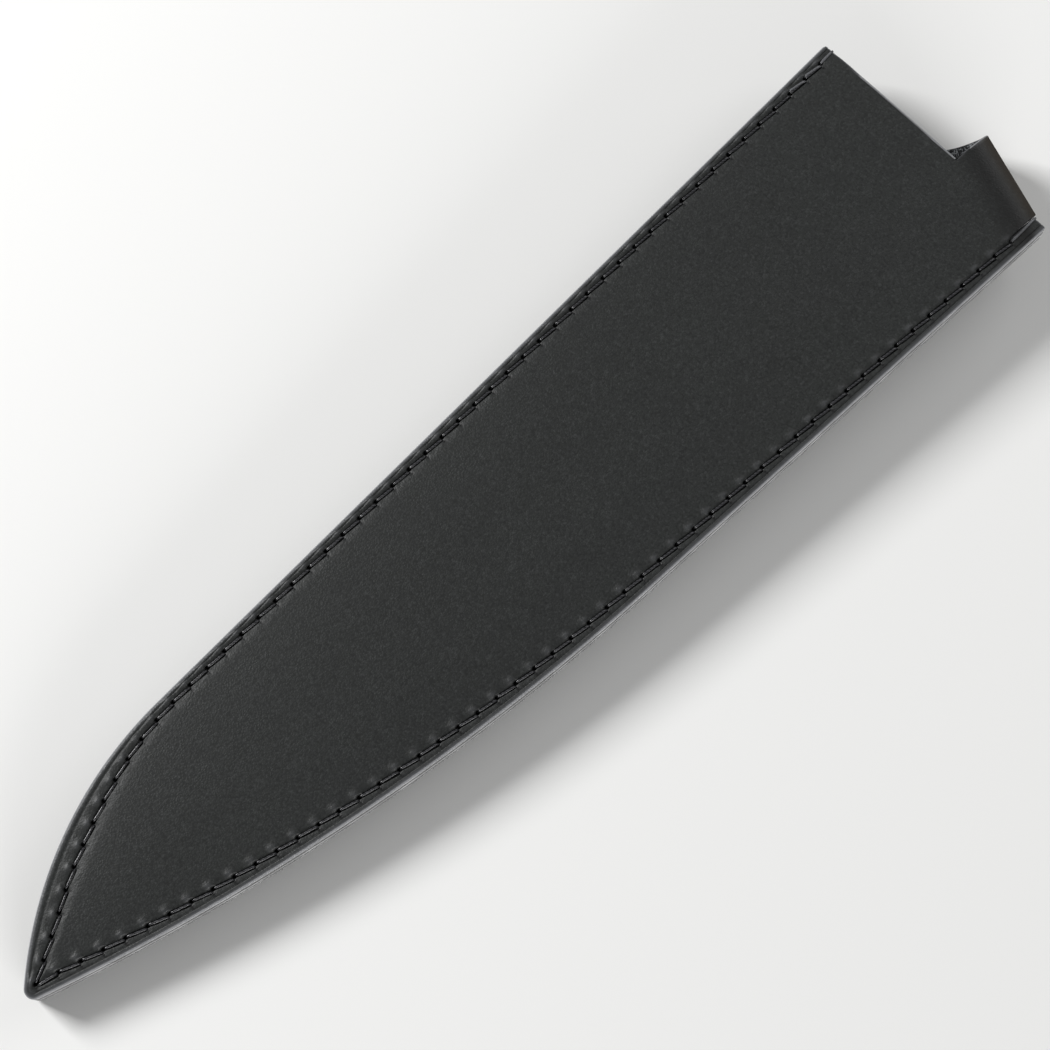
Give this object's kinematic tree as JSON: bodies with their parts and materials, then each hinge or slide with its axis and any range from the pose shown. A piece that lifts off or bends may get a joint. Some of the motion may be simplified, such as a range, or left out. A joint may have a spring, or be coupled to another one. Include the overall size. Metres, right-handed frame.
{
  "type": "knife blade guard",
  "caption": "Black leather sheath for a long kitchen knife, sewn along spine and edge, with a strap that folds round the blade's heel and snaps shut on the hidden side.",
  "frame": {"origin": "centre of the overall length and width, at the flat of the snap's cap, the lowest point", "axes": "+X from the tip to the open mouth, +Y towards the blade's spine, +Z out of the plain face"},
  "size_m": [0.2563, 0.059, 0.0144],
  "materials": {
    "leather_face": "satin",
    "leather_welt": "matte",
    "thread": "waxed",
    "snap_metal": "satin",
    "spring_wire": "satin"
  },
  "bodies": {
    "sheath": {"face_panel": "leather_face", "back_panel": "leather_face", "edge_welt": "leather_welt", "spine_welt": "leather_welt", "spine_thread_face": "thread", "spine_thread_back": "thread", "edge_thread_face": "thread", "edge_thread_back": "thread", "spine_end_loop": "thread", "heel_end_loop": "thread", "snap_stud": "snap_metal", "snap_post": "snap_metal"},
    "bend": {"heel_bend": "leather_face"},
    "flap": {"heel_flap": "leather_face", "snap_cap": "snap_metal", "snap_socket": "snap_metal", "snap_spring": "spring_wire"}
  },
  "joints": [
    {"name": "heel_fold", "type": "hinge", "parent": "sheath", "child": "bend", "pos_m": [0.1228, -0.01549, 0.01204], "axis": [-0.3123, -0.95, 0], "range_deg": [0, 75]},
    {"name": "flap_fold", "type": "hinge", "parent": "bend", "child": "flap", "pos_m": [0.1228, -0.01549, 0.00356], "axis": [-0.3123, -0.95, 0], "range_deg": [0, 75]}
  ],
  "couplings": [
    {"joint": "flap_fold", "follows": "heel_fold", "ratio": 1}
  ]
}
